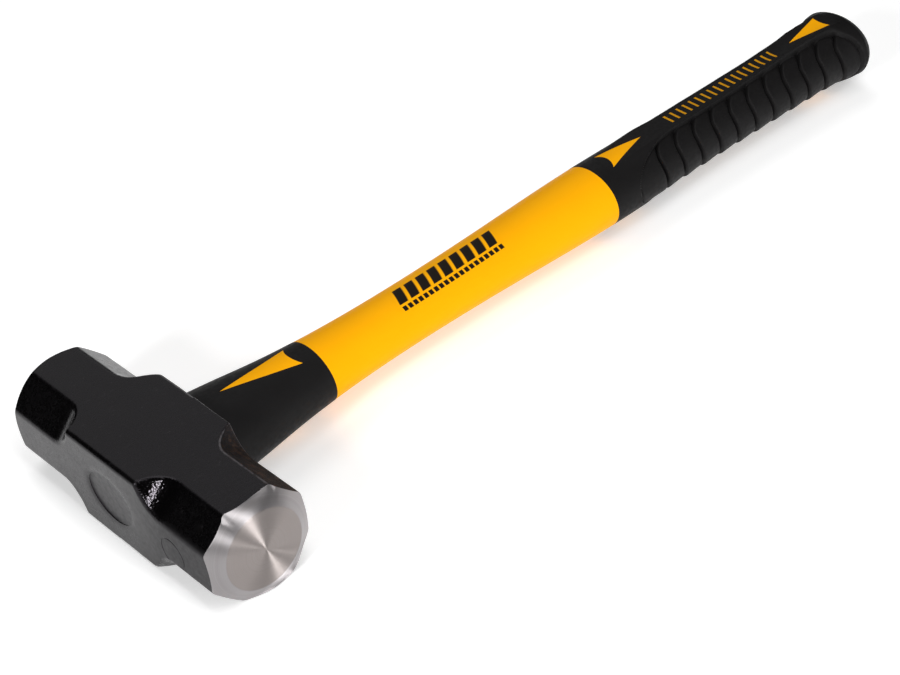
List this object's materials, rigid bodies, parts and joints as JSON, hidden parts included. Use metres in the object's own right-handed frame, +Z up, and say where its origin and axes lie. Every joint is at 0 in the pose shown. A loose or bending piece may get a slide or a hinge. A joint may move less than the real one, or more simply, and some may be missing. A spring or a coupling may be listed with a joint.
{
  "type": "sledgehammer",
  "caption": "Short-handled double-faced sledgehammer: forged octagonal-ended steel head bonded to a yellow fibreglass-core handle with rubber collar and ridged rubber grip.",
  "frame": {"origin": "centre of the lower cheek, the flat side of the head that the hammer lies on", "axes": "+X along the handle from head to butt, Y along the head between the striking faces, +Z up out of the upper cheek"},
  "size_m": [0.405, 0.13, 0.0404],
  "materials": {
    "head_steel": "dark satin paint over forged steel, bare turned steel on the striking faces",
    "core_fibreglass": "pultruded glass fibre in resin",
    "eye_epoxy": "cast epoxy, painted over at the top of the eye",
    "jacket_plastic": "smooth satin moulded polypropylene",
    "collar_rubber": "fine-grained matt thermoplastic rubber",
    "grip_rubber": "matt thermoplastic rubber with moulded ridges"
  },
  "bodies": {
    "root": {"hammer_head": "head_steel", "fibreglass_core": "core_fibreglass", "eye_resin": "eye_epoxy", "handle_jacket": "jacket_plastic", "overstrike_collar": "collar_rubber", "grip_sleeve": "grip_rubber"}
  },
  "joints": []
}
